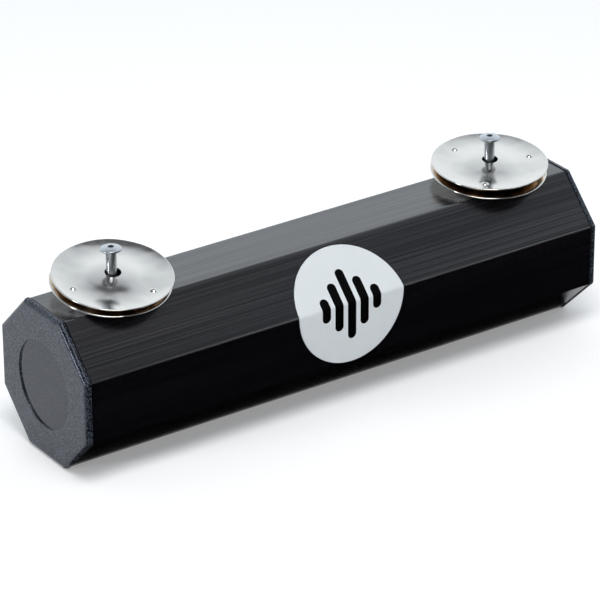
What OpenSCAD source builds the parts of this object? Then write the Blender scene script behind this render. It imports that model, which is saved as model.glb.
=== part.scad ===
// Jingle shaker: an octagonal aluminium tube with loose shot inside, a moulded cap in each end
// and two pairs of loose jingles on blind rivets along its top flat.
// The tube lies along X on its lower flat. The origin is under its middle, at the surface it stands on.

/* [Tube] */
// Width of the tube over its flats
tube_w = 60; // [54:0.5:70]
// Length of the tube between the caps' flanges
tube_l = 229.5; // [190:0.5:300]
// Wall of the tube
tube_wall = 2; // [1.4:0.1:3]
// Radius of the tube's outer edges
edge_r = 1.8; // [1:0.1:3]
// Radius of the tube's inner edges
bore_edge_r = 0.4; // [0.2:0.05:1]

/* [End caps] */
// How far the flange stands proud of the tube's flats
cap_proud = 0.3; // [0.1:0.05:0.6]
// Thickness of the flange
cap_flange = 3; // [2.6:0.1:6]
// Rounding of the flange's outer edge
cap_round = 1.8; // [0.8:0.1:2]
// Width of the shadow groove between the flange and the tube
seam_w = 0.5; // [0.3:0.05:0.7]
// Depth of that groove in from the tube's flats
seam_depth = 1; // [0.5:0.1:1.2]
// Depth of the plug in the tube
plug_depth = 12; // [8:0.5:18]
// Wall of the plug
plug_wall = 2.2; // [1.6:0.1:3.5]
// Gap between the plug's flats and the tube
plug_gap = 0.4; // [0.3:0.05:0.6]
// Chamfer that leads the plug into the tube
plug_lead = 1; // [0.5:0.1:1.4]
// Radius of the crush ribs along the plug
crush_rib_r = 0.7; // [0.65:0.05:1]
// Gap left between a crush rib's crest and the tube
crush_gap = 0.05; // [0.02:0.01:0.1]
// Diameter of the round recess in the cap's face
recess_d = 35; // [20:0.5:44]
// Depth of that recess
recess_depth = 0.6; // [0.3:0.1:1.2]

/* [Label] */
// Diameter of the round label before it is folded over the tube's edge
label_d = 48; // [30:0.5:49]
// Thickness of the label
label_t = 0.2; // [0.1:0.05:0.3]
// How far the label's centre lies below the fold
label_drop = 0.6; // [0:0.1:2]

/* [Rivets] */
// Distance of each rivet from its end of the tube
rivet_inset = 27.75; // [26:0.25:40]
// Diameter of the rivet's shank
rivet_d = 4; // [3.2:0.1:4.8]
// Diameter of the rivet's domed head
rivet_head_d = 8; // [7.2:0.1:10]
// Height of the rivet's head
rivet_head_h = 1.5; // [1.2:0.1:2]
// Height of the head's rim under its dome
rivet_rim_h = 0.9; // [0.75:0.05:1]
// Rounding of that rim's edges
rivet_rim_round = 0.35; // [0.2:0.05:0.35]
// Height of the head's top above the tube
rivet_stand = 18; // [16:0.5:26]
// Flare of the shank under the head
rivet_flare = 0.4; // [0.2:0.05:0.8]
// Diameter of the set bulb inside the tube
bulb_d = 6.4; // [6:0.1:8]
// Length of the bulb below the tube's wall
bulb_l = 4.2; // [3.5:0.1:6]
// Height of the bulb's round body
bulb_body_h = 2.6; // [2:0.1:3.4]
// Rounding of that body's edges
bulb_round = 0.9; // [0.5:0.1:0.9]
// Bore of the rivet
rivet_bore = 2.3; // [1.8:0.05:2.6]
// Gap between the broken stem and the rivet's bore
stem_gap = 0.05; // [0.02:0.01:0.1]
// How far below the head's top the stem broke off
stem_break = 1; // [0.5:0.1:2]
// Diameter of the stem's ball end
stem_ball_d = 3.8; // [3.4:0.1:4.4]
// Gap between the shank and the holes that it fills
rivet_gap = 0.04; // [0.02:0.01:0.1]
// Diameter of the collar that keeps the jingles off the tube
collar_d = 7.6; // [6.8:0.1:9]
// Height of the collar
collar_h = 1.5; // [1.4:0.1:3]
// Rounding of the collar's upper edge
collar_round = 0.6; // [0.3:0.05:0.9]

/* [Jingles] */
// Diameter of a jingle
jingle_d = 45.75; // [42:0.25:52]
// Thickness of its sheet
jingle_t = 0.6; // [0.45:0.05:0.8]
// Diameter of its hole
jingle_hole = 6.2; // [5.8:0.1:6.6]
// Radius of the section of its central dome
dome_r = 41; // [36:0.5:60]
// Diameter at which the dome turns into the lip
dome_d = 20; // [16:0.5:22]
// Radius of the section of its lip
lip_r = 24.3; // [22:0.1:40]
// Number of dimples
dimples = 3; // [2:1:4]
// Diameter of the circle that they lie on
dimple_pcd = 34; // [30:0.5:37]
// Diameter of a dimple
dimple_d = 2.6; // [2.2:0.1:3.2]
// Height of a dimple
dimple_h = 0.7; // [0.5:0.05:0.9]
// Gap between the two jingles of a pair where they are closest
pair_gap = 0.3; // [0.2:0.05:0.5]
// Gap between the lower jingle and its collar
seat_gap = 0.3; // [0.2:0.05:0.5]
// Lean of the left pair towards the front, in degrees
left_lean = 10; // [0:0.5:12]
// Lean of the left pair towards the left end, in degrees
left_side_lean = 1; // [0:0.5:4]
// How far the left pair stands open at the front, in degrees
left_open = 0; // [0:0.1:3]
// How far the left pair's jingles lie off the rivet's axis, the upper to the right, the lower to the left
left_slip = 0.35; // [0:0.05:0.7]
// Turn of the left pair's dimples, in degrees
left_turn = 60; // [0:5:120]
// Lean of the right pair towards the front, in degrees
right_lean = 6.5; // [0:0.5:12]
// Lean of the right pair towards the left end, in degrees
right_side_lean = 1.5; // [0:0.5:4]
// How far the right pair stands open at the front, in degrees
right_open = 2; // [0:0.1:3]
// How far the right pair's jingles lie off the rivet's axis, the upper to the right, the lower to the left
right_slip = 0.2; // [0:0.05:0.7]
// Turn of the right pair's dimples, in degrees
right_turn = -13; // [-120:1:120]

/* [Shot] */
// Diameter of a bead of shot
bead_d = 4.5; // [3.5:0.1:6]
// Gap between neighbouring beads
bead_gap = 0.15; // [0.1:0.05:0.3]
// Columns of beads along the tube
bead_columns = 16; // [8:1:24]
// Gap between the beads and the tube
bead_seat_gap = 0.1; // [0.05:0.05:0.3]

/* [Hidden] */
$fn = 48;

LEFT = -1;
RIGHT = 1;
SIDES = 8;
TURN = 360 / SIDES;
// Overshoot of a cut past the face that it opens
CUT = 1;
// How far the label's two halves lap over the fold, in degrees about the tube's axis
FOLD_LAP = 1;

// Heights of the tube's axis and of its top flat above the surface it stands on
axis_z = tube_w / 2 + cap_proud;
top_z = axis_z + tube_w / 2;
bore_w = tube_w - 2 * tube_wall;
station_x = tube_l / 2 - rivet_inset;

// The jingle's section is two tangent arcs: a dome about the axis and a lip about a ring above the valley.
// Heights are of the sheet's middle, above the valley.
turn_angle = asin(dome_d / 2 / dome_r);
valley_r = dome_d / 2 + lip_r * sin(turn_angle);
dome_centre_z = lip_r - (lip_r + dome_r) * cos(turn_angle);
lip_end_r = jingle_d / 2 - jingle_t / 2;
lip_angle = asin((lip_end_r - valley_r) / lip_r);
hole_edge_z = dome_centre_z + sqrt(dome_r * dome_r - jingle_hole * jingle_hole / 4);

// A regular polygon's corner radius for a width over its flats
function corner_r(width) = width / 2 / cos(TURN / 2);

// Outline of an octagon with round corners, flat side down.
module octagon(width, radius) {
    inner_r = corner_r(width - 2 * radius);
    sides = [
        for (k = [0 : SIDES - 1], end = [-1, 1])
            let (a = k * TURN)
            inner_r * [cos(a + end * TURN / 2), sin(a + end * TURN / 2)] + radius * [cos(a), sin(a)]
    ];
    polygon(sides);
    for (k = [0 : SIDES - 1])
        rotate(k * TURN + TURN / 2) translate([inner_r, 0]) circle(radius);
}

// Extrudes an outline drawn across the tube, along X.
module along_tube(length) {
    rotate([90, 0, 90]) linear_extrude(length, center = true) children();
}

// Places a piece on the left or right rivet's axis at the tube's top flat.
module at_station(side) {
    translate([side * station_x, 0, top_z]) children();
}

module tube() {
    color("#26262a") difference() {
        translate([0, 0, axis_z]) along_tube(tube_l) octagon(tube_w, edge_r);
        translate([0, 0, axis_z]) along_tube(tube_l + 2 * CUT) octagon(bore_w, bore_edge_r);
        for (side = [LEFT, RIGHT])
            at_station(side) translate([0, 0, -tube_wall - CUT])
                cylinder(d = rivet_d + 2 * rivet_gap, h = tube_wall + 2 * CUT);
    }
}

// The flange. Four crossed bars, each with its two long outer edges rounded, leave an octagon
// with a rounded outer edge as their common part.
module cap_flange_body() {
    width = tube_w + 2 * cap_proud;
    intersection_for (k = [0 : SIDES / 2 - 1])
        rotate([90, 0, k * TURN]) linear_extrude(2 * width, center = true) difference() {
            translate([-width / 2, seam_w]) square([width, cap_flange - seam_w]);
            for (end = [0, 1])
                mirror([end, 0]) translate([width / 2 - cap_round, cap_flange - cap_round]) difference() {
                    square(cap_round + CUT);
                    circle(cap_round);
                }
        }
}

// The hollow plug, standing from z = 0 down to its chamfered end.
// Four crossed bars with chamfered ends leave an octagon as their common part.
module cap_plug() {
    width = bore_w - 2 * plug_gap;
    lead_width = width - 2 * plug_lead;
    rib_in = crush_rib_r - (plug_gap - crush_gap);
    difference() {
        intersection_for (k = [0 : SIDES / 2 - 1])
            rotate([90, 0, k * TURN]) linear_extrude(2 * width, center = true) polygon([
                [-width / 2, CUT], [-width / 2, plug_lead - plug_depth], [-lead_width / 2, -plug_depth],
                [lead_width / 2, -plug_depth], [width / 2, plug_lead - plug_depth], [width / 2, CUT],
            ]);
        translate([0, 0, -plug_depth - CUT]) rotate(TURN / 2)
            cylinder(r = corner_r(width - 2 * plug_wall), h = plug_depth + CUT, $fn = SIDES);
    }
    for (k = [0 : SIDES - 1])
        rotate(k * TURN) translate([width / 2 - rib_in, 0, plug_lead - plug_depth])
            cylinder(r = crush_rib_r, h = plug_depth - plug_lead + CUT);
}

// A cap, with its outer face towards +Z and the tube's end at z = 0.
// A land under the flange seats on the tube's end and leaves the shadow groove outside it.
module cap() {
    difference() {
        union() {
            cap_flange_body();
            rotate(TURN / 2) cylinder(r = corner_r(tube_w - 2 * seam_depth), h = seam_w + CUT, $fn = SIDES);
            cap_plug();
        }
        translate([0, 0, cap_flange - recess_depth]) cylinder(d = recess_d, h = recess_depth + CUT);
    }
}

module end_cap(side) {
    color("#3a3b40") translate([side * tube_l / 2, 0, axis_z]) rotate([90, 0, side * 90]) cap();
}

// A round cutter square to one flat of the tube, kept to the wedge of that flat.
// The cutter is drawn on the top flat and turned about X; its centre lies centre_y along the flat.
module label_cutter(turn, centre_y) {
    wedge_h = tube_w;
    wedge_half = wedge_h * tan(TURN / 2 + FOLD_LAP);
    translate([0, 0, axis_z]) rotate([turn, 0, 0]) intersection() {
        translate([0, centre_y, tube_w / 4]) cylinder(d = label_d, h = tube_w);
        along_tube(label_d + 2 * CUT) polygon([[0, 0], [wedge_half, wedge_h], [-wedge_half, wedge_h]]);
    }
}

// A thin round label, folded over the edge between the upper front flat and the front flat.
module label() {
    half_side = tube_w / 2 * tan(TURN / 2);
    color("#eef1f4") intersection() {
        translate([0, 0, axis_z]) difference() {
            along_tube(label_d + 2 * CUT) octagon(tube_w + 2 * label_t, edge_r + label_t);
            along_tube(label_d + 4 * CUT) octagon(tube_w, edge_r);
        }
        union() {
            label_cutter(TURN, -half_side - label_drop);
            label_cutter(2 * TURN, half_side - label_drop);
        }
    }
}

// Half section of a round plate between two heights, with rounded edges.
module plate_section(radius, low, high, round) {
    translate([0, low]) square([radius - round, high - low]);
    translate([0, low + round]) square([radius, high - low - 2 * round]);
    for (z = [low + round, high - round])
        translate([radius - round, z]) circle(round);
}

// Half section of a set blind rivet. Height 0 is the tube's top flat.
module rivet_section() {
    head_r = rivet_head_d / 2;
    crown_r = head_r - rivet_rim_round;
    crown_h = rivet_head_h - rivet_rim_h;
    crown_dome_r = (crown_r * crown_r + crown_h * crown_h) / (2 * crown_h);
    head_z = rivet_stand - rivet_head_h;
    shank_r = rivet_d / 2;
    bulb_end = -tube_wall - bulb_l;
    difference() {
        union() {
            intersection() {
                translate([0, rivet_stand - crown_dome_r]) circle(crown_dome_r, $fn = 96);
                translate([0, head_z]) square([crown_r, rivet_head_h]);
            }
            plate_section(head_r, head_z, head_z + rivet_rim_h, rivet_rim_round);
            polygon([[0, head_z - rivet_flare], [shank_r, head_z - rivet_flare],
                     [shank_r + rivet_flare, head_z], [0, head_z]]);
            translate([0, bulb_end]) square([shank_r, head_z + rivet_rim_h / 2 - bulb_end]);
            plate_section(bulb_d / 2, -tube_wall - bulb_body_h, -tube_wall, bulb_round);
        }
        translate([-CUT, bulb_end - CUT])
            square([CUT + rivet_bore / 2, rivet_stand - bulb_end + 2 * CUT]);
    }
}

module rivet(side) {
    color("#b9bcc0") at_station(side) rotate_extrude() rivet_section();
}

// What is left of the pulled stem: its shank in the bore and its ball end under the bulb.
module rivet_stem(side) {
    ball_r = stem_ball_d / 2;
    seat_r = rivet_bore / 2;
    ball_z = -tube_wall - bulb_l - sqrt(ball_r * ball_r - seat_r * seat_r) - stem_gap;
    color("#6c7076") at_station(side) {
        translate([0, 0, ball_z]) sphere(ball_r);
        translate([0, 0, ball_z]) cylinder(r = seat_r - stem_gap, h = rivet_stand - stem_break - ball_z);
    }
}

// A plain collar round the shank, with a rounded upper edge.
module collar(side) {
    outer_r = collar_d / 2;
    color("#2b2c30") at_station(side) rotate_extrude() difference() {
        union() {
            square([outer_r, collar_h - collar_round]);
            square([outer_r - collar_round, collar_h]);
            translate([outer_r - collar_round, collar_h - collar_round]) circle(collar_round);
        }
        translate([-CUT, -CUT]) square([CUT + rivet_d / 2 + rivet_gap, collar_h + 2 * CUT]);
    }
}

// An arc of sheet about centre, between two angles from straight up, as wide as the sheet is thick.
module sheet_arc(centre, radius, from, to) {
    reach = 2 * radius;
    translate(centre) intersection() {
        difference() {
            circle(radius + jingle_t / 2, $fn = 180);
            circle(radius - jingle_t / 2, $fn = 180);
        }
        polygon([[0, 0], reach * [sin(from), cos(from)], reach * [sin(to), cos(to)]]);
    }
}

// Half section of a jingle: a dome, a lip tangent to it and a round edge.
module jingle_section() {
    difference() {
        sheet_arc([0, dome_centre_z], dome_r, 0, turn_angle);
        translate([-CUT, -CUT]) square([CUT + jingle_hole / 2, lip_r]);
    }
    sheet_arc([valley_r, lip_r], lip_r, 180 - lip_angle, 180 + turn_angle);
    translate([lip_end_r, lip_r - lip_r * cos(lip_angle)]) circle(jingle_t / 2);
}

// A stamped jingle, its valley's middle at height 0 and its dome and lip above it.
module jingle() {
    bump_r = (dimple_d * dimple_d / 4 + dimple_h * dimple_h) / (2 * dimple_h);
    bump_z = jingle_t / 2 + dimple_h - bump_r;
    difference() {
        union() {
            rotate_extrude($fn = 120) jingle_section();
            for (k = [0 : dimples - 1])
                rotate(k * 360 / dimples) translate([dimple_pcd / 2, 0, 0]) intersection() {
                    translate([0, 0, bump_z]) sphere(bump_r);
                    translate([0, 0, jingle_t / 4 + bump_r]) cube(2 * bump_r, center = true);
                }
        }
        for (k = [0 : dimples - 1])
            rotate(k * 360 / dimples) translate([dimple_pcd / 2, 0, bump_z]) sphere(bump_r - jingle_t);
    }
}

// Height of the middle between a pair's jingles above the tube, with the lower one just off its collar
function pair_z(lean) = collar_h + seat_gap
    + (pair_gap / 2 + jingle_t + hole_edge_z) * cos(lean) + collar_d / 2 * sin(lean);

// Places the middle between a pair's jingles as the pair leans at rest on its rivet.
module at_pair(side) {
    lean = side == LEFT ? left_lean : right_lean;
    side_lean = side == LEFT ? left_side_lean : right_side_lean;
    whole_lean = acos(cos(lean) * cos(side_lean));
    at_station(side) translate([0, 0, pair_z(whole_lean)]) rotate([lean, -side_lean, 0]) children();
}

// A jingle in its pair, with its valley half the pair's gap above the middle and its dimples turned.
module turned_jingle(side) {
    rotate(side == LEFT ? left_turn : right_turn) translate([0, 0, (pair_gap + jingle_t) / 2]) jingle();
}

// The upper jingle stands open from the lower one, about the back of its valley.
module upper_jingle(side) {
    open = side == LEFT ? left_open : right_open;
    slip = side == LEFT ? left_slip : right_slip;
    color("#c9ccce") at_pair(side) translate([slip, 0, valley_r * sin(open)]) rotate([-open, 0, 0])
        turned_jingle(side);
}

// The lower jingle lies face down, back to back with the upper one.
module lower_jingle(side) {
    slip = side == LEFT ? left_slip : right_slip;
    color("#c0c3c6") at_pair(side) translate([-slip, 0, 0]) mirror([0, 0, 1]) turned_jingle(side);
}

// The shot as it lies at rest: a bed in rows along the floor and a second layer in its hollows.
module beads() {
    pitch = bead_d + bead_gap;
    lift = bead_d / 2 + bead_seat_gap;
    floor_z = axis_z - bore_w / 2;
    floor_half = bore_w / 2 * tan(TURN / 2);
    reach_y = floor_half - lift * tan(TURN / 2);
    rows = floor(2 * reach_y / pitch) + 1;
    color("#8a8d91") for (layer = [0, 1])
        for (row = [0 : rows - 1 - layer], column = [0 : bead_columns - 1 - layer])
            translate([
                (column - (bead_columns - 1 - layer) / 2) * pitch,
                (row - (rows - 1 - layer) / 2) * pitch,
                floor_z + lift + layer * pitch / sqrt(2),
            ]) sphere(d = bead_d);
}

tube();
end_cap(LEFT);  // cap_left
end_cap(RIGHT);  // cap_right
label();
rivet(LEFT);  // rivet_left
rivet(RIGHT);  // rivet_right
rivet_stem(LEFT);  // rivet_stem_left
rivet_stem(RIGHT);  // rivet_stem_right
collar(LEFT);  // collar_left
collar(RIGHT);  // collar_right
lower_jingle(LEFT);  // jingle_left_lower
upper_jingle(LEFT);  // jingle_left_upper
lower_jingle(RIGHT);  // jingle_right_lower
upper_jingle(RIGHT);  // jingle_right_upper
beads();
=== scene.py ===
# Looks of a jingle shaker: a black octagonal tube with a moulded cap in each end, loose shot inside,
# and two pairs of loose jingles on rivets along its top flat. Everything is in metres, in the part's frame.
import math

import bpy
from mathutils import Matrix, Vector


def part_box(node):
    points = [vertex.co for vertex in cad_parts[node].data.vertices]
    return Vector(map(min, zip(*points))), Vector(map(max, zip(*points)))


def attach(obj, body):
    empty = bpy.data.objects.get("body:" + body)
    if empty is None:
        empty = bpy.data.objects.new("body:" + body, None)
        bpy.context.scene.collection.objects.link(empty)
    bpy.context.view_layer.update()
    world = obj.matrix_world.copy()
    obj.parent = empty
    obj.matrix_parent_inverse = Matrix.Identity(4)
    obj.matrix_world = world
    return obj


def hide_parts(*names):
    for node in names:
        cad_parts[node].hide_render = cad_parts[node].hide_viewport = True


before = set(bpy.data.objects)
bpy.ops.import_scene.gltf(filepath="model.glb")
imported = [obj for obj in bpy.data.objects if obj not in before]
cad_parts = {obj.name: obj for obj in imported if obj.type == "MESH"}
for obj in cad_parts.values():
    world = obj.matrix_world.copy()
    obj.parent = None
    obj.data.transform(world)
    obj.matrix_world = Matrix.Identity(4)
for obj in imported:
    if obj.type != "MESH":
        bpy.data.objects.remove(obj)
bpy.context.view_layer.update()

# Tube: an octagonal aluminium extrusion, brushed along its length and anodised black.
# It is sawn square at both ends, and its top flat is drilled for the two rivets.
MM = 0.001
STREAK_WIDTH = 0.45 * MM
STREAK_LENGTH = 140 * MM
BAND_WIDTH = 3 * MM
BAND_LENGTH = 300 * MM
BRUSH_DEPTH = 0.02 * MM
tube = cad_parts["tube"]
tube_low, tube_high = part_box("tube")
tube_end = tube_high.x
tube_half_width = tube_high.y
axis_height = (tube_low.z + tube_high.z) / 2


def linear(code):
    """The linear colour of an sRGB hex code."""
    shares = [int(code[k : k + 2], 16) / 255 for k in (1, 3, 5)]
    return (*[c / 12.92 if c <= 0.04045 else ((c + 0.055) / 1.055) ** 2.4 for c in shares], 1)


def add_node(tree, kind, settings=None, links=None):
    """Adds a node, sets its properties and sockets by name or number, and links sources to its sockets."""
    node = tree.nodes.new(kind)
    for name, value in (settings or {}).items():
        if isinstance(name, str) and hasattr(node, name):
            setattr(node, name, value)
        else:
            node.inputs[name].default_value = value
    for socket, source in (links or {}).items():
        tree.links.new(source, node.inputs[socket])
    return node


def start_material(name, settings):
    """A new material with one shader, set up with what is the same all over the surface."""
    material = bpy.data.materials.new(name)
    material.use_nodes = True
    shader = material.node_tree.nodes["Principled BSDF"]
    for socket, value in settings.items():
        shader.inputs[socket].default_value = value
    return material, material.node_tree, shader


def dress(piece, material):
    """Gives the whole piece one material."""
    piece.data.materials.clear()
    piece.data.materials.append(material)


# Black anodised aluminium: a clear hard oxide over a black dye. Face on it is nearly black, at a low
# angle it turns grey, and the brushing shows as fine brighter and duller streaks along the tube.
# Real brush lines are about 0.1 mm wide, and are drawn coarser here so that they show.
anodised, tree, shader = start_material("black_anodised_aluminium", {"IOR": 1.77})
places = add_node(tree, "ShaderNodeTexCoord").outputs["Object"]
noises = []
for length, width, detail in ((STREAK_LENGTH, STREAK_WIDTH, 4), (BAND_LENGTH, BAND_WIDTH, 2)):
    drawn_out = add_node(tree, "ShaderNodeVectorMath",
                         {"operation": "MULTIPLY", 1: (1 / length, 1 / width, 1 / width)}, {0: places})
    noises.append(add_node(tree, "ShaderNodeTexNoise", {"Scale": 1, "Detail": detail, "Roughness": 0.6},
                           {"Vector": drawn_out.outputs[0]}))
streaks, bands = noises
brushing = add_node(tree, "ShaderNodeMix", {"Factor": 0.2},
                    {"A": streaks.outputs["Fac"], "B": bands.outputs["Fac"]}).outputs[0]
dye = add_node(tree, "ShaderNodeValToRGB", {}, {"Fac": brushing})
dye.color_ramp.elements[0].position = 0.36
dye.color_ramp.elements[0].color = linear("#020307")
dye.color_ramp.elements[1].position = 0.66
dye.color_ramp.elements[1].color = linear("#110e15")
mirror = add_node(tree, "ShaderNodeMapRange",
                  {"From Min": 0.42, "From Max": 0.58, "To Min": 0.43, "To Max": 0.71}, {"Value": brushing})
gloss = add_node(tree, "ShaderNodeMapRange",
                 {"From Min": 0.3, "From Max": 0.7, "To Min": 0.18, "To Max": 0.26}, {"Value": brushing})
relief = add_node(tree, "ShaderNodeBump", {"Strength": 0.6, "Distance": BRUSH_DEPTH},
                  {"Height": streaks.outputs["Fac"]})
tree.links.new(dye.outputs["Color"], shader.inputs["Base Color"])
tree.links.new(mirror.outputs["Result"], shader.inputs["Specular IOR Level"])
tree.links.new(gloss.outputs["Result"], shader.inputs["Roughness"])
tree.links.new(relief.outputs["Normal"], shader.inputs["Normal"])
dress(tube, anodised)

# End caps: black ABS mouldings. The flange closes the tube's end over a narrow shadow groove, and the
# hollow plug behind it is pressed in on eight crush ribs. The outer face has a shallow round recess.
CAP_PROUD = 0.3 * MM
CAP_FLANGE = 3 * MM
CAP_ROUND = 1.8 * MM
CAP_CORNER = 1.3 * MM
SMALL_CORNER = 0.2 * MM
SEAM_WIDTH = 0.5 * MM
SEAM_DEPTH = 1 * MM
SEAM_EDGE = 0.12 * MM
PLUG_HALF = tube_half_width - 2.4 * MM
PLUG_WALL = 2.2 * MM
PLUG_DEPTH = 12 * MM
PLUG_LEAD = 1 * MM
RIB_RADIUS = 0.7 * MM
RIB_INSET = 0.35 * MM
RECESS_RADIUS = 17.5 * MM
RECESS_DEPTH = 0.6 * MM
RECESS_EDGE = 0.18 * MM
SPARK_GRAIN = 0.45 * MM
SPARK_DEPTH = 0.05 * MM
SIDES = 8
TURN = 2 * math.pi / SIDES
FLAT_SHARES = (1, 0.72, 0.45, 0.2)
FLOOR_SHARES = (0.3, 0.6, 0.9)
FACE_SHARES = (0, 0.25, 0.5, 0.75, 0.96)
BACK_SHARES = (0.7, 0.3)
RIB_STEPS = 8
CORNER_STEPS = 7
FILLET_STEPS = 9
RECESS_STEPS = 4
# A small rounded edge in units of its radius: where one side ends, the middle, and where the other starts
ROUND_POINTS = ((1, 0), (0.3, 0.3), (0, 1))


def octagon_outline(half_width, corner, rib=0):
    """Points of an octagon with round corners about the origin, flat side down, with a rib on each flat."""
    half_flat = (half_width - corner) * math.tan(TURN / 2)
    rib_half = math.sqrt(RIB_RADIUS**2 - RIB_INSET**2)
    outer = [half_flat * share for share in FLAT_SHARES]
    middle = [rib_half * (1 - 2 * k / RIB_STEPS) for k in range(RIB_STEPS + 1)]
    points = []
    for side in range(SIDES):
        out = Vector((math.cos(side * TURN), math.sin(side * TURN)))
        along = Vector((-out.y, out.x))
        for place in [-t for t in outer] + [-t for t in middle] + outer[::-1]:
            rise = math.sqrt(max(RIB_RADIUS**2 - place**2, 0)) - RIB_INSET
            points.append(out * (half_width + rib * max(rise, 0)) + along * place)
        for step in range(1, CORNER_STEPS):
            turn = (side + step / CORNER_STEPS) * TURN
            centre = (half_width - corner) * out + half_flat * along
            points.append(centre + corner * Vector((math.cos(turn), math.sin(turn))))
    return points


def round_outline(outline, radius):
    """The same points drawn in to a circle."""
    return [p.normalized() * radius for p in outline]


def loft(name, rings, end_points=None):
    """A closed mesh through rings of points, either with a fan to each end point or joined end to end."""
    count = len(rings[0])
    points = [p for ring in rings for p in ring]
    spans = len(rings) - 1 if end_points else len(rings)
    faces = []
    for r in range(spans):
        here = r * count
        there = (r + 1) % len(rings) * count
        for k in range(count):
            following = (k + 1) % count
            faces.append((here + k, here + following, there + following, there + k))
    if end_points:
        first = len(points)
        last_ring = (len(rings) - 1) * count
        points += end_points
        for k in range(count):
            following = (k + 1) % count
            faces.append((first, following, k))
            faces.append((first + 1, last_ring + k, last_ring + following))
    mesh = bpy.data.meshes.new(name)
    mesh.from_pydata(points, [], faces)
    mesh.polygons.foreach_set("use_smooth", [True] * len(faces))
    piece = bpy.data.objects.new(name, mesh)
    bpy.context.scene.collection.objects.link(piece)
    return piece


def cap_rings():
    """Outlines of a cap and their distance out from the tube's end, from the recess to inside the plug."""
    half_width = tube_half_width + CAP_PROUD
    face = octagon_outline(half_width - CAP_ROUND, SMALL_CORNER)
    floor = CAP_FLANGE - RECESS_DEPTH
    rings = [(round_outline(face, RECESS_RADIUS * share), floor) for share in FLOOR_SHARES]
    for inset, rise in ((2, 0), *ROUND_POINTS):
        rings.append((round_outline(face, RECESS_RADIUS - inset * RECESS_EDGE), floor + rise * RECESS_EDGE))
    for step in range(RECESS_STEPS + 1):
        turn = step / RECESS_STEPS * math.pi / 2
        radius = RECESS_RADIUS + RECESS_EDGE * (1 - math.cos(turn))
        rings.append((round_outline(face, radius), CAP_FLANGE - RECESS_EDGE * (1 - math.sin(turn))))
    brim = round_outline(face, RECESS_RADIUS + 2 * RECESS_EDGE)
    for share in FACE_SHARES:
        rings.append(([a.lerp(b, share) for a, b in zip(brim, face)], CAP_FLANGE))
    for step in range(FILLET_STEPS + 1):
        turn = step / FILLET_STEPS * math.pi / 2
        inset = CAP_ROUND * (1 - math.sin(turn))
        outline = octagon_outline(half_width - inset, max(CAP_CORNER - inset, SMALL_CORNER))
        rings.append((outline, CAP_FLANGE - CAP_ROUND * (1 - math.cos(turn))))
    for inset, out in ((0, 1.8), *ROUND_POINTS[::-1], (2, 0)):
        outline = octagon_outline(half_width - inset * SEAM_EDGE, CAP_CORNER)
        rings.append((outline, SEAM_WIDTH + out * SEAM_EDGE))
    land = octagon_outline(tube_half_width - SEAM_DEPTH, CAP_CORNER)
    plug = octagon_outline(PLUG_HALF, SMALL_CORNER, rib=1)
    lead = octagon_outline(PLUG_HALF - PLUG_LEAD, SMALL_CORNER)
    inside = octagon_outline(PLUG_HALF - PLUG_WALL, SMALL_CORNER)
    rings += [(land, SEAM_WIDTH), (land, 0), (plug, 0), (plug, PLUG_LEAD - PLUG_DEPTH), (lead, -PLUG_DEPTH)]
    rings += [(inside, -PLUG_DEPTH), (inside, 0)]
    rings += [(round_outline(inside, PLUG_HALF * share), 0) for share in BACK_SHARES]
    return rings


# Black ABS, moulded in a spark-eroded tool: an even grain that breaks the cool highlight into sparkle.
# Real spark grain is finer than 0.2 mm, and is drawn coarser here so that it shows. The recess was
# polished in the tool, so its floor is a little smoother and darker.
# The cool blue of the caps' highlights is painted on with a specular tint, in place of cool light.
abs_plastic, tree, shader = start_material("black_moulded_abs", {"IOR": 1.5, "Specular IOR Level": 0.38,
                                                                "Specular Tint": linear("#dbe5fb")})
places = add_node(tree, "ShaderNodeTexCoord").outputs["Object"]
grain = add_node(tree, "ShaderNodeTexNoise", {"Scale": 1 / SPARK_GRAIN, "Detail": 2, "Roughness": 0.6},
                 {"Vector": places}).outputs["Fac"]
from_axis = add_node(tree, "ShaderNodeVectorMath",
                     {"operation": "SUBTRACT", 1: (0, 0, axis_height)}, {0: places})
across = add_node(tree, "ShaderNodeVectorMath", {"operation": "MULTIPLY", 1: (0, 1, 1)},
                  {0: from_axis.outputs[0]})
radius = add_node(tree, "ShaderNodeVectorMath", {"operation": "LENGTH"}, {0: across.outputs[0]})
outside = add_node(tree, "ShaderNodeMapRange",
                   {"From Min": RECESS_RADIUS - RECESS_EDGE, "From Max": RECESS_RADIUS},
                   {"Value": radius.outputs["Value"]}).outputs["Result"]
tint = add_node(tree, "ShaderNodeValToRGB", {}, {"Fac": grain})
tint.color_ramp.elements[0].position = 0.46
tint.color_ramp.elements[0].color = linear("#050608")
tint.color_ramp.elements[1].position = 0.62
tint.color_ramp.elements[1].color = linear("#4e545f")
gloss = add_node(tree, "ShaderNodeMapRange",
                 {"From Min": 0.3, "From Max": 0.7, "To Min": 0.18, "To Max": 0.28}, {"Value": grain})
roughening = add_node(tree, "ShaderNodeMapRange", {"To Min": 0.4, "To Max": 1}, {"Value": outside})
polished = add_node(tree, "ShaderNodeMix", {"data_type": "RGBA", 6: linear("#0a0b0e")},
                    {0: roughening.outputs["Result"], 7: tint.outputs["Color"]})
softness = add_node(tree, "ShaderNodeMath", {"operation": "MULTIPLY"},
                    {0: gloss.outputs["Result"], 1: roughening.outputs["Result"]})
relief = add_node(tree, "ShaderNodeBump", {"Distance": SPARK_DEPTH},
                  {"Strength": roughening.outputs["Result"], "Height": grain})
tree.links.new(polished.outputs[2], shader.inputs["Base Color"])
tree.links.new(softness.outputs[0], shader.inputs["Roughness"])
tree.links.new(relief.outputs["Normal"], shader.inputs["Normal"])

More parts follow.
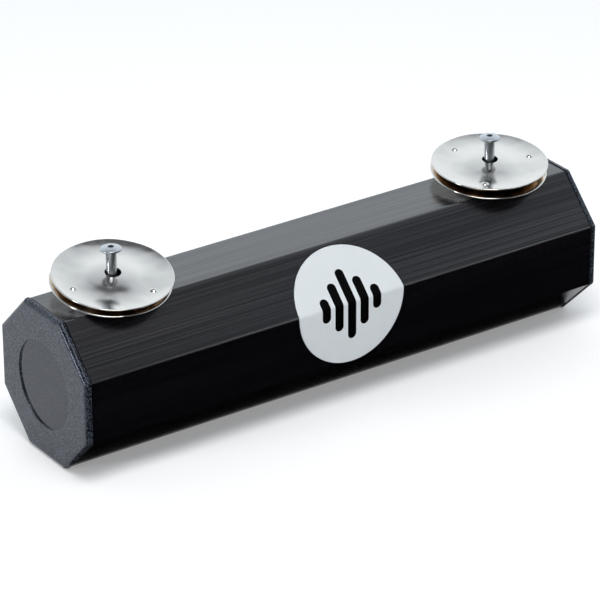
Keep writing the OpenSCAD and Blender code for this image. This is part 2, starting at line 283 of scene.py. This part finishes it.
for name, side in (("cap_left", -1), ("cap_right", 1)):
    rings = [[Vector((side * (tube_end + out), -side * p.x, axis_height + p.y)) for p in outline]
             for outline, out in cap_rings()]
    middles = [Vector((side * (tube_end + out), 0, axis_height)) for out in (CAP_FLANGE - RECESS_DEPTH, 0)]
    cap = loft(name + "_moulding", rings, middles)
    dress(cap, abs_plastic)
    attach(cap, "shell")
    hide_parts(name)

# Label: a round white vinyl sticker, folded over the edge between the upper front flat and the front flat.
# It is screen printed with five plain black bars, like a row of sound levels.
LABEL_RADIUS = 24 * MM
LABEL_THICK = 0.2 * MM
LABEL_DROP = 0.6 * MM
EDGE_RADIUS = 1.8 * MM
LABEL_ROWS = 150
LABEL_COLUMNS = 60
FILM_MOTTLE = 6 * MM
BAR_HALF_WIDTH = 1.9 * MM
BAR_STEP = 5.8 * MM
BAR_HALF_HEIGHTS = [3 * MM, 8 * MM, 12.5 * MM, 8 * MM, 3 * MM]


def folded(along, down, lift):
    """The point that lies so far along the tube, so far down round it from the fold and so far off it."""
    arc = EDGE_RADIUS * TURN
    flat = 2 * (tube_half_width - EDGE_RADIUS) * math.tan(TURN / 2)
    edge, rest = divmod(down + arc / 2, arc + flat)
    turn = TURN * (1 + edge) + min(rest, arc) / EDGE_RADIUS
    out = Vector((0, -math.sin(turn), math.cos(turn)))
    on = Vector((0, -math.cos(turn), -math.sin(turn)))
    centre_turn = TURN * (1.5 + edge)
    centre_out = (tube_half_width - EDGE_RADIUS) / math.cos(TURN / 2)
    centre_y = -centre_out * math.sin(centre_turn)
    centre = Vector((along, centre_y, axis_height + centre_out * math.cos(centre_turn)))
    return centre + out * (EDGE_RADIUS + lift) + on * max(rest - arc, 0)


rings = []
flat_places = []
for row in range(1, LABEL_ROWS):
    down = -LABEL_RADIUS * math.cos(math.pi * row / LABEL_ROWS)
    half_row = math.sqrt(LABEL_RADIUS**2 - down**2)
    alongs = [half_row * (2 * k / LABEL_COLUMNS - 1) for k in range(LABEL_COLUMNS + 1)]
    inner = [folded(x, down + LABEL_DROP, 0) for x in alongs]
    outer = [folded(x, down + LABEL_DROP, LABEL_THICK) for x in reversed(alongs)]
    rings.append(inner + outer)
    flat_places += [(x, -down, 0) for x in alongs + alongs[::-1]]
tips = [folded(0, end * LABEL_RADIUS + LABEL_DROP, LABEL_THICK / 2) for end in (-1, 1)]
flat_places += [(0, LABEL_RADIUS, 0), (0, -LABEL_RADIUS, 0)]
label = loft("label_sticker", rings, tips)
flat_layer = label.data.attributes.new("flat_place", "FLOAT_VECTOR", "POINT")
flat_layer.data.foreach_set("vector", [c for place in flat_places for c in place])

# White vinyl with black screen ink: an even satin film, a little cool, and ink that is matt beside it.
vinyl, tree, shader = start_material("white_vinyl", {"IOR": 1.5})
flat = add_node(tree, "ShaderNodeAttribute", {"attribute_name": "flat_place"}).outputs["Vector"]
up = add_node(tree, "ShaderNodeSeparateXYZ", {}, {0: flat}).outputs["Y"]
inks = []
for number, half_height in enumerate(BAR_HALF_HEIGHTS):
    place = (number - (len(BAR_HALF_HEIGHTS) - 1) / 2) * BAR_STEP
    level = add_node(tree, "ShaderNodeClamp", {"Min": -half_height, "Max": half_height}, {"Value": up})
    spine = add_node(tree, "ShaderNodeCombineXYZ", {"X": place}, {"Y": level.outputs[0]})
    away = add_node(tree, "ShaderNodeVectorMath", {"operation": "DISTANCE"}, {0: flat, 1: spine.outputs[0]})
    inks.append(add_node(tree, "ShaderNodeMath", {"operation": "LESS_THAN", 1: BAR_HALF_WIDTH},
                         {0: away.outputs["Value"]}).outputs[0])
ink = inks[0]
for bar in inks[1:]:
    ink = add_node(tree, "ShaderNodeMath", {"operation": "MAXIMUM"}, {0: ink, 1: bar}).outputs[0]
places = add_node(tree, "ShaderNodeTexCoord").outputs["Object"]
mottle = add_node(tree, "ShaderNodeTexNoise", {"Scale": 1 / FILM_MOTTLE, "Detail": 2}, {"Vector": places})
film = add_node(tree, "ShaderNodeMix", {"data_type": "RGBA", 6: linear("#e8eef1"), 7: linear("#eef3f5")},
                {0: mottle.outputs["Fac"]})
printed = add_node(tree, "ShaderNodeMix", {"data_type": "RGBA", 7: linear("#040404")},
                   {0: ink, 6: film.outputs[2]})
sheen = add_node(tree, "ShaderNodeMapRange", {"To Min": 0.5, "To Max": 0.04}, {"Value": ink})
gloss = add_node(tree, "ShaderNodeMapRange", {"To Min": 0.42, "To Max": 0.55}, {"Value": ink})
tree.links.new(printed.outputs[2], shader.inputs["Base Color"])
tree.links.new(sheen.outputs["Result"], shader.inputs["Specular IOR Level"])
tree.links.new(gloss.outputs["Result"], shader.inputs["Roughness"])
dress(label, vinyl)
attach(label, "shell")
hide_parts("label")

# Rivets: long aluminium blind rivets, set through the tube's top flat. Their shanks are the jingles' posts.
# The broken steel stem stays in each bore, so the hole in the head looks dark.
DRAWN_WIDTH = 0.25 * MM
DRAWN_LENGTH = 9 * MM
SCALE_SPOT = 0.8 * MM

# Bare aluminium, as drawn: a bright satin metal with faint lines along the shank, which are drawn coarser
# here than the real ones so that they show.
aluminium, tree, shader = start_material("bare_aluminium", {"Metallic": 1})
places = add_node(tree, "ShaderNodeTexCoord").outputs["Object"]
drawn_out = add_node(tree, "ShaderNodeVectorMath",
                     {"operation": "MULTIPLY", 1: (1 / DRAWN_WIDTH, 1 / DRAWN_WIDTH, 1 / DRAWN_LENGTH)},
                     {0: places})
lines = add_node(tree, "ShaderNodeTexNoise", {"Scale": 1, "Detail": 2},
                 {"Vector": drawn_out.outputs[0]}).outputs["Fac"]
tint = add_node(tree, "ShaderNodeMix", {"data_type": "RGBA", 6: linear("#adb2b7"), 7: linear("#bfc4c8")},
                {0: lines})
gloss = add_node(tree, "ShaderNodeMapRange", {"To Min": 0.24, "To Max": 0.34}, {"Value": lines})
tree.links.new(tint.outputs[2], shader.inputs["Base Color"])
tree.links.new(gloss.outputs["Result"], shader.inputs["Roughness"])

# Plain steel under a film of oil: dull and dark grey, with patches of mill scale.
steel, tree, shader = start_material("plain_steel", {"Metallic": 1})
places = add_node(tree, "ShaderNodeTexCoord").outputs["Object"]
scale = add_node(tree, "ShaderNodeTexNoise", {"Scale": 1 / SCALE_SPOT, "Detail": 3},
                 {"Vector": places}).outputs["Fac"]
tint = add_node(tree, "ShaderNodeMix", {"data_type": "RGBA", 6: linear("#2c2d30"), 7: linear("#55585c")},
                {0: scale})
gloss = add_node(tree, "ShaderNodeMapRange", {"To Min": 0.35, "To Max": 0.55}, {"Value": scale})
tree.links.new(tint.outputs[2], shader.inputs["Base Color"])
tree.links.new(gloss.outputs["Result"], shader.inputs["Roughness"])
for side in ("left", "right"):
    dress(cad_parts["rivet_" + side], aluminium)
    dress(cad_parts["rivet_stem_" + side], steel)

# Collars: short sleeves of black nylon, turned from rod and slipped over the rivets' feet.
# They stand on the tube's top flat and keep the lower jingles off it.
TURNING_HAZE = 0.7 * MM

# Black nylon: matt, a little waxy, and uneven from turning.
nylon, tree, shader = start_material("black_nylon", {"IOR": 1.53})
places = add_node(tree, "ShaderNodeTexCoord").outputs["Object"]
haze = add_node(tree, "ShaderNodeTexNoise", {"Scale": 1 / TURNING_HAZE, "Detail": 3},
                {"Vector": places}).outputs["Fac"]
tint = add_node(tree, "ShaderNodeMix", {"data_type": "RGBA", 6: linear("#141416"), 7: linear("#26272a")},
                {0: haze})
gloss = add_node(tree, "ShaderNodeMapRange", {"To Min": 0.4, "To Max": 0.6}, {"Value": haze})
tree.links.new(tint.outputs[2], shader.inputs["Base Color"])
tree.links.new(gloss.outputs["Result"], shader.inputs["Roughness"])
for side in ("left", "right"):
    dress(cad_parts["collar_" + side], nylon)

# Jingles: discs stamped from thin steel sheet and bright nickel plated. Each has a domed middle with a
# round hole, a lip that turns up to the rim and three dimples. A pair hangs loose, back to back.
JINGLE_RADIUS = 22.875 * MM
SHEET = 0.6 * MM
HOLE_RADIUS = 3.1 * MM
HOLE_EDGE = 0.12 * MM
DOME_RADIUS = 41 * MM
DOME_END = 10 * MM
LIP_RADIUS = 24.3 * MM
DIMPLES = 3
DIMPLE_PLACE = 17 * MM
DIMPLE_RADIUS = 1.4 * MM
DIMPLE_HEIGHT = 0.7 * MM
DIMPLE_REACH = 1.3 * DIMPLE_RADIUS
DIMPLE_STEPS = 30
BETWEEN_STEPS = 64
DOME_STEPS = 22
LIP_STEPS = 10
RIM_STEPS = 10
PAIR_GAP = 0.3 * MM
SEAT_GAP = 0.3 * MM
WAVE_HEIGHT = 0.1 * MM
WAVE_LENGTH = 23 * MM
HANDLING_PATCH = 5 * MM
WARM_REFLECTION_PATCH = 7 * MM
UNEVEN_PATCH = 10 * MM
UNEVEN_DEPTH = 0.4 * MM
turn_angle = math.asin(DOME_END / DOME_RADIUS)
valley = DOME_END + LIP_RADIUS * math.sin(turn_angle)
dome_centre = LIP_RADIUS - (LIP_RADIUS + DOME_RADIUS) * math.cos(turn_angle)
rim = JINGLE_RADIUS - SHEET / 2
hole_height = dome_centre + math.sqrt(DOME_RADIUS**2 - HOLE_RADIUS**2)


def sheet_middle(r):
    """Height of the middle of the sheet above the valley, and the slope of the sheet there, at a radius."""
    if r < DOME_END:
        turn = math.asin(r / DOME_RADIUS)
        return dome_centre + DOME_RADIUS * math.cos(turn), -turn
    turn = math.asin((r - valley) / LIP_RADIUS)
    return LIP_RADIUS - LIP_RADIUS * math.cos(turn), turn


def jingle_profile():
    """Section of the sheet as (radius, height), out along its upper side, round the rim and back below."""
    near = DIMPLE_PLACE - DIMPLE_REACH
    far = DIMPLE_PLACE + DIMPLE_REACH
    start = HOLE_RADIUS + 2.5 * HOLE_EDGE
    radii = [start + (near - HOLE_RADIUS) * k / DOME_STEPS for k in range(DOME_STEPS)]
    radii += [near + (far - near) * k / DIMPLE_STEPS for k in range(DIMPLE_STEPS + 1)]
    radii += [far + (rim - far) * k / LIP_STEPS for k in range(1, LIP_STEPS + 1)]

    def skin(r, lift):
        height, slope = sheet_middle(r)
        return r - lift * math.sin(slope), height + lift * math.cos(slope)

    upper = [skin(r, SHEET / 2) for r in radii]
    lower = [skin(r, -SHEET / 2) for r in radii]
    end_height, end_slope = sheet_middle(rim)
    edge = []
    for step in range(1, RIM_STEPS):
        turn = end_slope + math.pi / 2 - math.pi * step / RIM_STEPS
        edge.append((rim + SHEET / 2 * math.cos(turn), end_height + SHEET / 2 * math.sin(turn)))

    def hole_edge(lift):
        points = []
        for inset, drop in ROUND_POINTS:
            r = HOLE_RADIUS + inset * HOLE_EDGE
            points.append((r, sheet_middle(r)[0] + lift * (SHEET / 2 - drop * HOLE_EDGE)))
        return points

    return upper + edge + lower[::-1] + hole_edge(-1) + hole_edge(1)[::-1]


def dimple_rise(x, y, first):
    """How far the sheet is pushed up at a point, with the first dimple at a bearing."""
    rise = 0
    for k in range(DIMPLES):
        turn = first + 2 * math.pi * k / DIMPLES
        away = math.hypot(x - DIMPLE_PLACE * math.cos(turn), y - DIMPLE_PLACE * math.sin(turn))
        rise += DIMPLE_HEIGHT * max(1 - (away / DIMPLE_RADIUS) ** 2, 0)
    return rise


def jingle_turns(first):
    """Bearings of the sections round a jingle, closer together over the dimples."""
    half_dimple = DIMPLE_REACH / DIMPLE_PLACE
    turns = []
    for k in range(DIMPLES):
        middle = first + 2 * math.pi * k / DIMPLES
        turns += [middle + half_dimple * (2 * s / DIMPLE_STEPS - 1) for s in range(DIMPLE_STEPS)]
        gap = 2 * math.pi / DIMPLES - 2 * half_dimple
        turns += [middle + half_dimple + gap * s / BETWEEN_STEPS for s in range(BETWEEN_STEPS)]
    return turns


def jingle(name, facing, first, phase):
    """A jingle about the pair's middle, facing up (1) or down (-1). Its first dimple is at a bearing, and
    its faint waves are shifted by a phase."""
    profile = jingle_profile()
    wave_turn = 2 * math.pi / WAVE_LENGTH
    rings = []
    for turn in jingle_turns(first):
        ring = []
        for r, z in profile:
            x = r * math.cos(turn)
            y = r * math.sin(turn)
            wave = math.sin(wave_turn * x + phase) * math.cos(wave_turn * y - phase)
            height = (PAIR_GAP + SHEET) / 2 + z + dimple_rise(x, y, first) + WAVE_HEIGHT * wave
            ring.append(Vector((x, y, facing * height)))
        rings.append(ring[::facing])
    return loft(name, rings)


# Bright nickel plate on steel: nearly a mirror, softened by polishing and handling, on thin sheet that
# isn't quite even, so reflections look cloudy. The backs are painted brown in patches, a painted warm
# reflection, so that the gap between the two of a pair looks warm and dark.
nickel, tree, shader = start_material("nickel_plated_steel", {"Metallic": 1})
surface = add_node(tree, "ShaderNodeTexCoord").outputs
haze = add_node(tree, "ShaderNodeTexNoise", {"Scale": 1 / HANDLING_PATCH, "Detail": 4, "Roughness": 0.55},
                {"Vector": surface["Object"]}).outputs["Fac"]
patches = add_node(tree, "ShaderNodeTexNoise", {"Scale": 1 / WARM_REFLECTION_PATCH, "Detail": 3},
                   {"Vector": surface["Object"]}).outputs["Fac"]
plate = add_node(tree, "ShaderNodeMix", {"data_type": "RGBA", 6: linear("#cdcac5"), 7: linear("#d5d3cf")},
                 {0: haze})
# Painted warm reflection: brown patches painted on the backs of the jingles, inside the rim.
painted_warm_reflection = add_node(tree, "ShaderNodeValToRGB", {}, {"Fac": patches})
painted_warm_reflection.color_ramp.elements[0].position = 0.38
painted_warm_reflection.color_ramp.elements[0].color = linear("#8c7660")
painted_warm_reflection.color_ramp.elements[1].position = 0.66
painted_warm_reflection.color_ramp.elements[1].color = linear("#dccbb6")
facing_up = add_node(tree, "ShaderNodeSeparateXYZ", {}, {0: surface["Normal"]}).outputs["Z"]
above_middle = add_node(tree, "ShaderNodeSeparateXYZ", {}, {0: surface["Object"]}).outputs["Z"]
outward = add_node(tree, "ShaderNodeMath", {"operation": "MULTIPLY"}, {0: facing_up, 1: above_middle})
back = add_node(tree, "ShaderNodeMapRange",
                {"From Min": SHEET / 10, "From Max": -SHEET / 10, "To Min": 0, "To Max": 1},
                {"Value": outward.outputs[0]}).outputs["Result"]
from_middle = add_node(tree, "ShaderNodeVectorMath", {"operation": "LENGTH"}, {0: surface["Object"]})
inside_rim = add_node(tree, "ShaderNodeMapRange",
                      {"From Min": rim, "From Max": rim - SHEET / 2},
                      {"Value": from_middle.outputs["Value"]}).outputs["Result"]
warm_reflection_mask = add_node(tree, "ShaderNodeMath", {"operation": "MULTIPLY"}, {0: back, 1: inside_rim})
tint = add_node(tree, "ShaderNodeMix", {"data_type": "RGBA"},
                {0: warm_reflection_mask.outputs[0], 6: plate.outputs[2], 7: painted_warm_reflection.outputs["Color"]})
gloss = add_node(tree, "ShaderNodeMapRange",
                 {"From Min": 0.3, "From Max": 0.75, "To Min": 0.12, "To Max": 0.24}, {"Value": haze})
unevenness = add_node(tree, "ShaderNodeTexNoise", {"Scale": 1 / UNEVEN_PATCH, "Detail": 1},
                      {"Vector": surface["Object"]}).outputs["Fac"]
relief = add_node(tree, "ShaderNodeBump", {"Strength": 1, "Distance": UNEVEN_DEPTH}, {"Height": unevenness})
tree.links.new(tint.outputs[2], shader.inputs["Base Color"])
tree.links.new(gloss.outputs["Result"], shader.inputs["Roughness"])
tree.links.new(relief.outputs["Normal"], shader.inputs["Normal"])

# How each pair lies: leans to the front and to the left, opening and dimples' turn in degrees, then slip
PAIRS = {"left": (10, 1, 0, 60, 0.35 * MM), "right": (6.5, 1.5, 2, -13, 0.2 * MM)}
for number, (side, (*degrees, slip)) in enumerate(PAIRS.items()):
    lean, side_lean, opening, turn = [math.radians(d) for d in degrees]
    rivet_low, rivet_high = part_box("rivet_" + side)
    collar_low, collar_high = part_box("collar_" + side)
    collar_radius = (collar_high.x - collar_low.x) / 2
    whole_lean = math.acos(math.cos(lean) * math.cos(side_lean))
    half_pair = PAIR_GAP / 2 + SHEET + hole_height
    rise = half_pair * math.cos(whole_lean) + collar_radius * math.sin(whole_lean)
    middle = Matrix.Translation(((rivet_low.x + rivet_high.x) / 2, 0, collar_high.z + SEAT_GAP + rise))
    lie = middle @ Matrix.Rotation(-side_lean, 4, "Y") @ Matrix.Rotation(lean, 4, "X")
    lower = jingle(f"jingle_{side}_lower_disc", -1, turn, number)
    lower.matrix_world = lie @ Matrix.Translation((-slip, 0, 0))
    upper = jingle(f"jingle_{side}_upper_disc", 1, turn, number + 2)
    opened = Matrix.Translation((slip, 0, valley * math.sin(opening)))
    upper.matrix_world = lie @ opened @ Matrix.Rotation(-opening, 4, "X")
    for piece, level in ((lower, "lower"), (upper, "upper")):
        dress(piece, nickel)
        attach(piece, f"{side}_{level}_jingle")
        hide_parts(f"jingle_{side}_{level}")

# Shot: loose balls of plain steel that make the tube rattle. They lie on its floor, shut in by the
# pressed-in caps.
dress(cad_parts["beads"], steel)

# Studio: a pale floor in a white room that is lit at the back and dim overhead and in front, with soft
# lights at the left and above. A black cloth hangs behind the camera, and a black card lies in front of
# the part to keep its front flats dark: only reflections see the card.
FLOOR_HALF = 6
FLOOR_GLOW = 0.25
CLOTH_AWAY = 1.5
CLOTH_HALF = 2.5
CLOTH_HEIGHT = 0.75
CARD = ((-0.2, -0.5), (0.4, -0.5), (0.4, -0.05), (0.12, -0.0235), (0.117, -0.013), (-0.113, -0.013),
        (-0.2, -0.045))
JUST_OFF = 0.05 * MM
DIM_SIDE = (-0.35, -0.35, 0.87)
ROOM = ((0, "#f2f9ff"), (0.2, "#dfe7ee"), (0.38, "#ced5dc"), (0.51, "#b4b9c0"), (0.585, "#585b60"),
        (0.9, "#4a4d51"))
ROOM_LIGHT = 1.3


def stage_sheet(name, corners, material):
    """A flat sheet that belongs to the studio."""
    mesh = bpy.data.meshes.new(name)
    mesh.from_pydata(corners, [], [range(len(corners))])
    sheet = bpy.data.objects.new(name, mesh)
    bpy.context.scene.collection.objects.link(sheet)
    dress(sheet, material)
    return sheet


# White paper: matt and even. The eye and reflections see it a little brighter than the lamps make it.
paper, tree, shader = start_material("white_paper",
                                     {"Base Color": linear("#f3f3f3"), "Roughness": 1,
                                      "Specular IOR Level": 0, "Emission Color": (1, 1, 1, 1)})
light_path = add_node(tree, "ShaderNodeLightPath").outputs
seen = add_node(tree, "ShaderNodeMath", {"operation": "MAXIMUM"},
                {0: light_path["Is Camera Ray"], 1: light_path["Is Glossy Ray"]})
seen = add_node(tree, "ShaderNodeMath", {"operation": "MAXIMUM"},
                {0: seen.outputs[0], 1: light_path["Is Transmission Ray"]})
glow = add_node(tree, "ShaderNodeMath", {"operation": "MULTIPLY", 1: FLOOR_GLOW}, {0: seen.outputs[0]})
tree.links.new(glow.outputs[0], shader.inputs["Emission Strength"])
square = ((-1, -1), (1, -1), (1, 1), (-1, 1))
stage_sheet("floor", [(x * FLOOR_HALF, y * FLOOR_HALF, -JUST_OFF) for x, y in square], paper)

# Black cloth: matt and close to black, so that what reflects it stays dark.
black_cloth, tree, shader = start_material("black_cloth",
                                           {"Base Color": linear("#0a0909"), "Roughness": 1,
                                            "Specular IOR Level": 0})
card = stage_sheet("black_card", [(x, y, JUST_OFF) for x, y in CARD], black_cloth)
card.visible_camera = False
card.visible_diffuse = False
card.visible_shadow = False
cloth = stage_sheet("black_backcloth",
                    [(x * CLOTH_HALF, -CLOTH_AWAY, (1 + z) / 2 * CLOTH_HEIGHT) for x, z in square],
                    black_cloth)
cloth.visible_camera = False

world = bpy.data.worlds.new("white_room")
bpy.context.scene.world = world
world.use_nodes = True
tree = world.node_tree
sky = tree.nodes["Background"]
direction = add_node(tree, "ShaderNodeTexCoord").outputs["Generated"]
dimness = add_node(tree, "ShaderNodeVectorMath",
                   {"operation": "DOT_PRODUCT", 1: DIM_SIDE}, {0: direction})
room = add_node(tree, "ShaderNodeValToRGB", {}, {"Fac": dimness.outputs["Value"]})
stops = room.color_ramp.elements
while len(stops) < len(ROOM):
    stops.new(1)
for stop, (position, colour) in zip(stops, ROOM):
    stop.position = position
    stop.color = linear(colour)
tree.links.new(room.outputs["Color"], sky.inputs["Color"])
sky.inputs["Strength"].default_value = ROOM_LIGHT


def softbox(name, place, size, radiance):
    """A soft light that is turned to the part, with the width, height and brightness of its front."""
    light = bpy.data.lights.new(name, "AREA")
    light.shape = "RECTANGLE"
    light.size, light.size_y = size
    light.energy = radiance * math.pi * size[0] * size[1]
    lamp = bpy.data.objects.new(name, light)
    lamp.location = place
    towards = Vector((0, 0, axis_height)) - Vector(place)
    lamp.rotation_euler = towards.to_track_quat("-Z", "Y").to_euler()
    bpy.context.scene.collection.objects.link(lamp)


softbox("left_softbox", place=(-1.3, 0.12, 0.28), size=(0.2, 0.2), radiance=36)
softbox("overhead_softbox", place=(-0.2, -0.4, 1.2), size=(0.6, 0.6), radiance=8.2)
softbox("top_softbox", place=(0.72, -0.2, 1.2), size=(1, 0.25), radiance=0.35)
softbox("strip_light", place=(0.75, -1.2, 0.48), size=(1, 0.12), radiance=2.5)

# Camera: the photograph's long view, from the left front and well above. Its place is fitted to the
# tube's straight edges. The lens and the sensor are in millimetres.
AZIMUTH = math.radians(-34.431)
ELEVATION = math.radians(26.45)
ROLL = math.radians(-0.282)
DISTANCE = 1.4161
AIM = Vector((-4.762, -2.413, 33.751)) * MM
LENS = 222.2
SENSOR = 36
FARTHEST = 50
level_way = Vector((math.sin(AZIMUTH), -math.cos(AZIMUTH), 0))
to_camera = level_way * math.cos(ELEVATION) + Vector((0, 0, math.sin(ELEVATION)))
lens = bpy.data.cameras.new("camera")
lens.lens = LENS
lens.sensor_width = SENSOR
lens.clip_end = FARTHEST
camera = bpy.data.objects.new("camera", lens)
camera.location = AIM + to_camera * DISTANCE
rolled = to_camera.to_track_quat("Z", "Y") @ Matrix.Rotation(ROLL, 3, "Z").to_quaternion()
camera.rotation_euler = rolled.to_euler()
bpy.context.scene.collection.objects.link(camera)
bpy.context.scene.camera = camera
bpy.context.scene.view_settings.view_transform = "Standard"
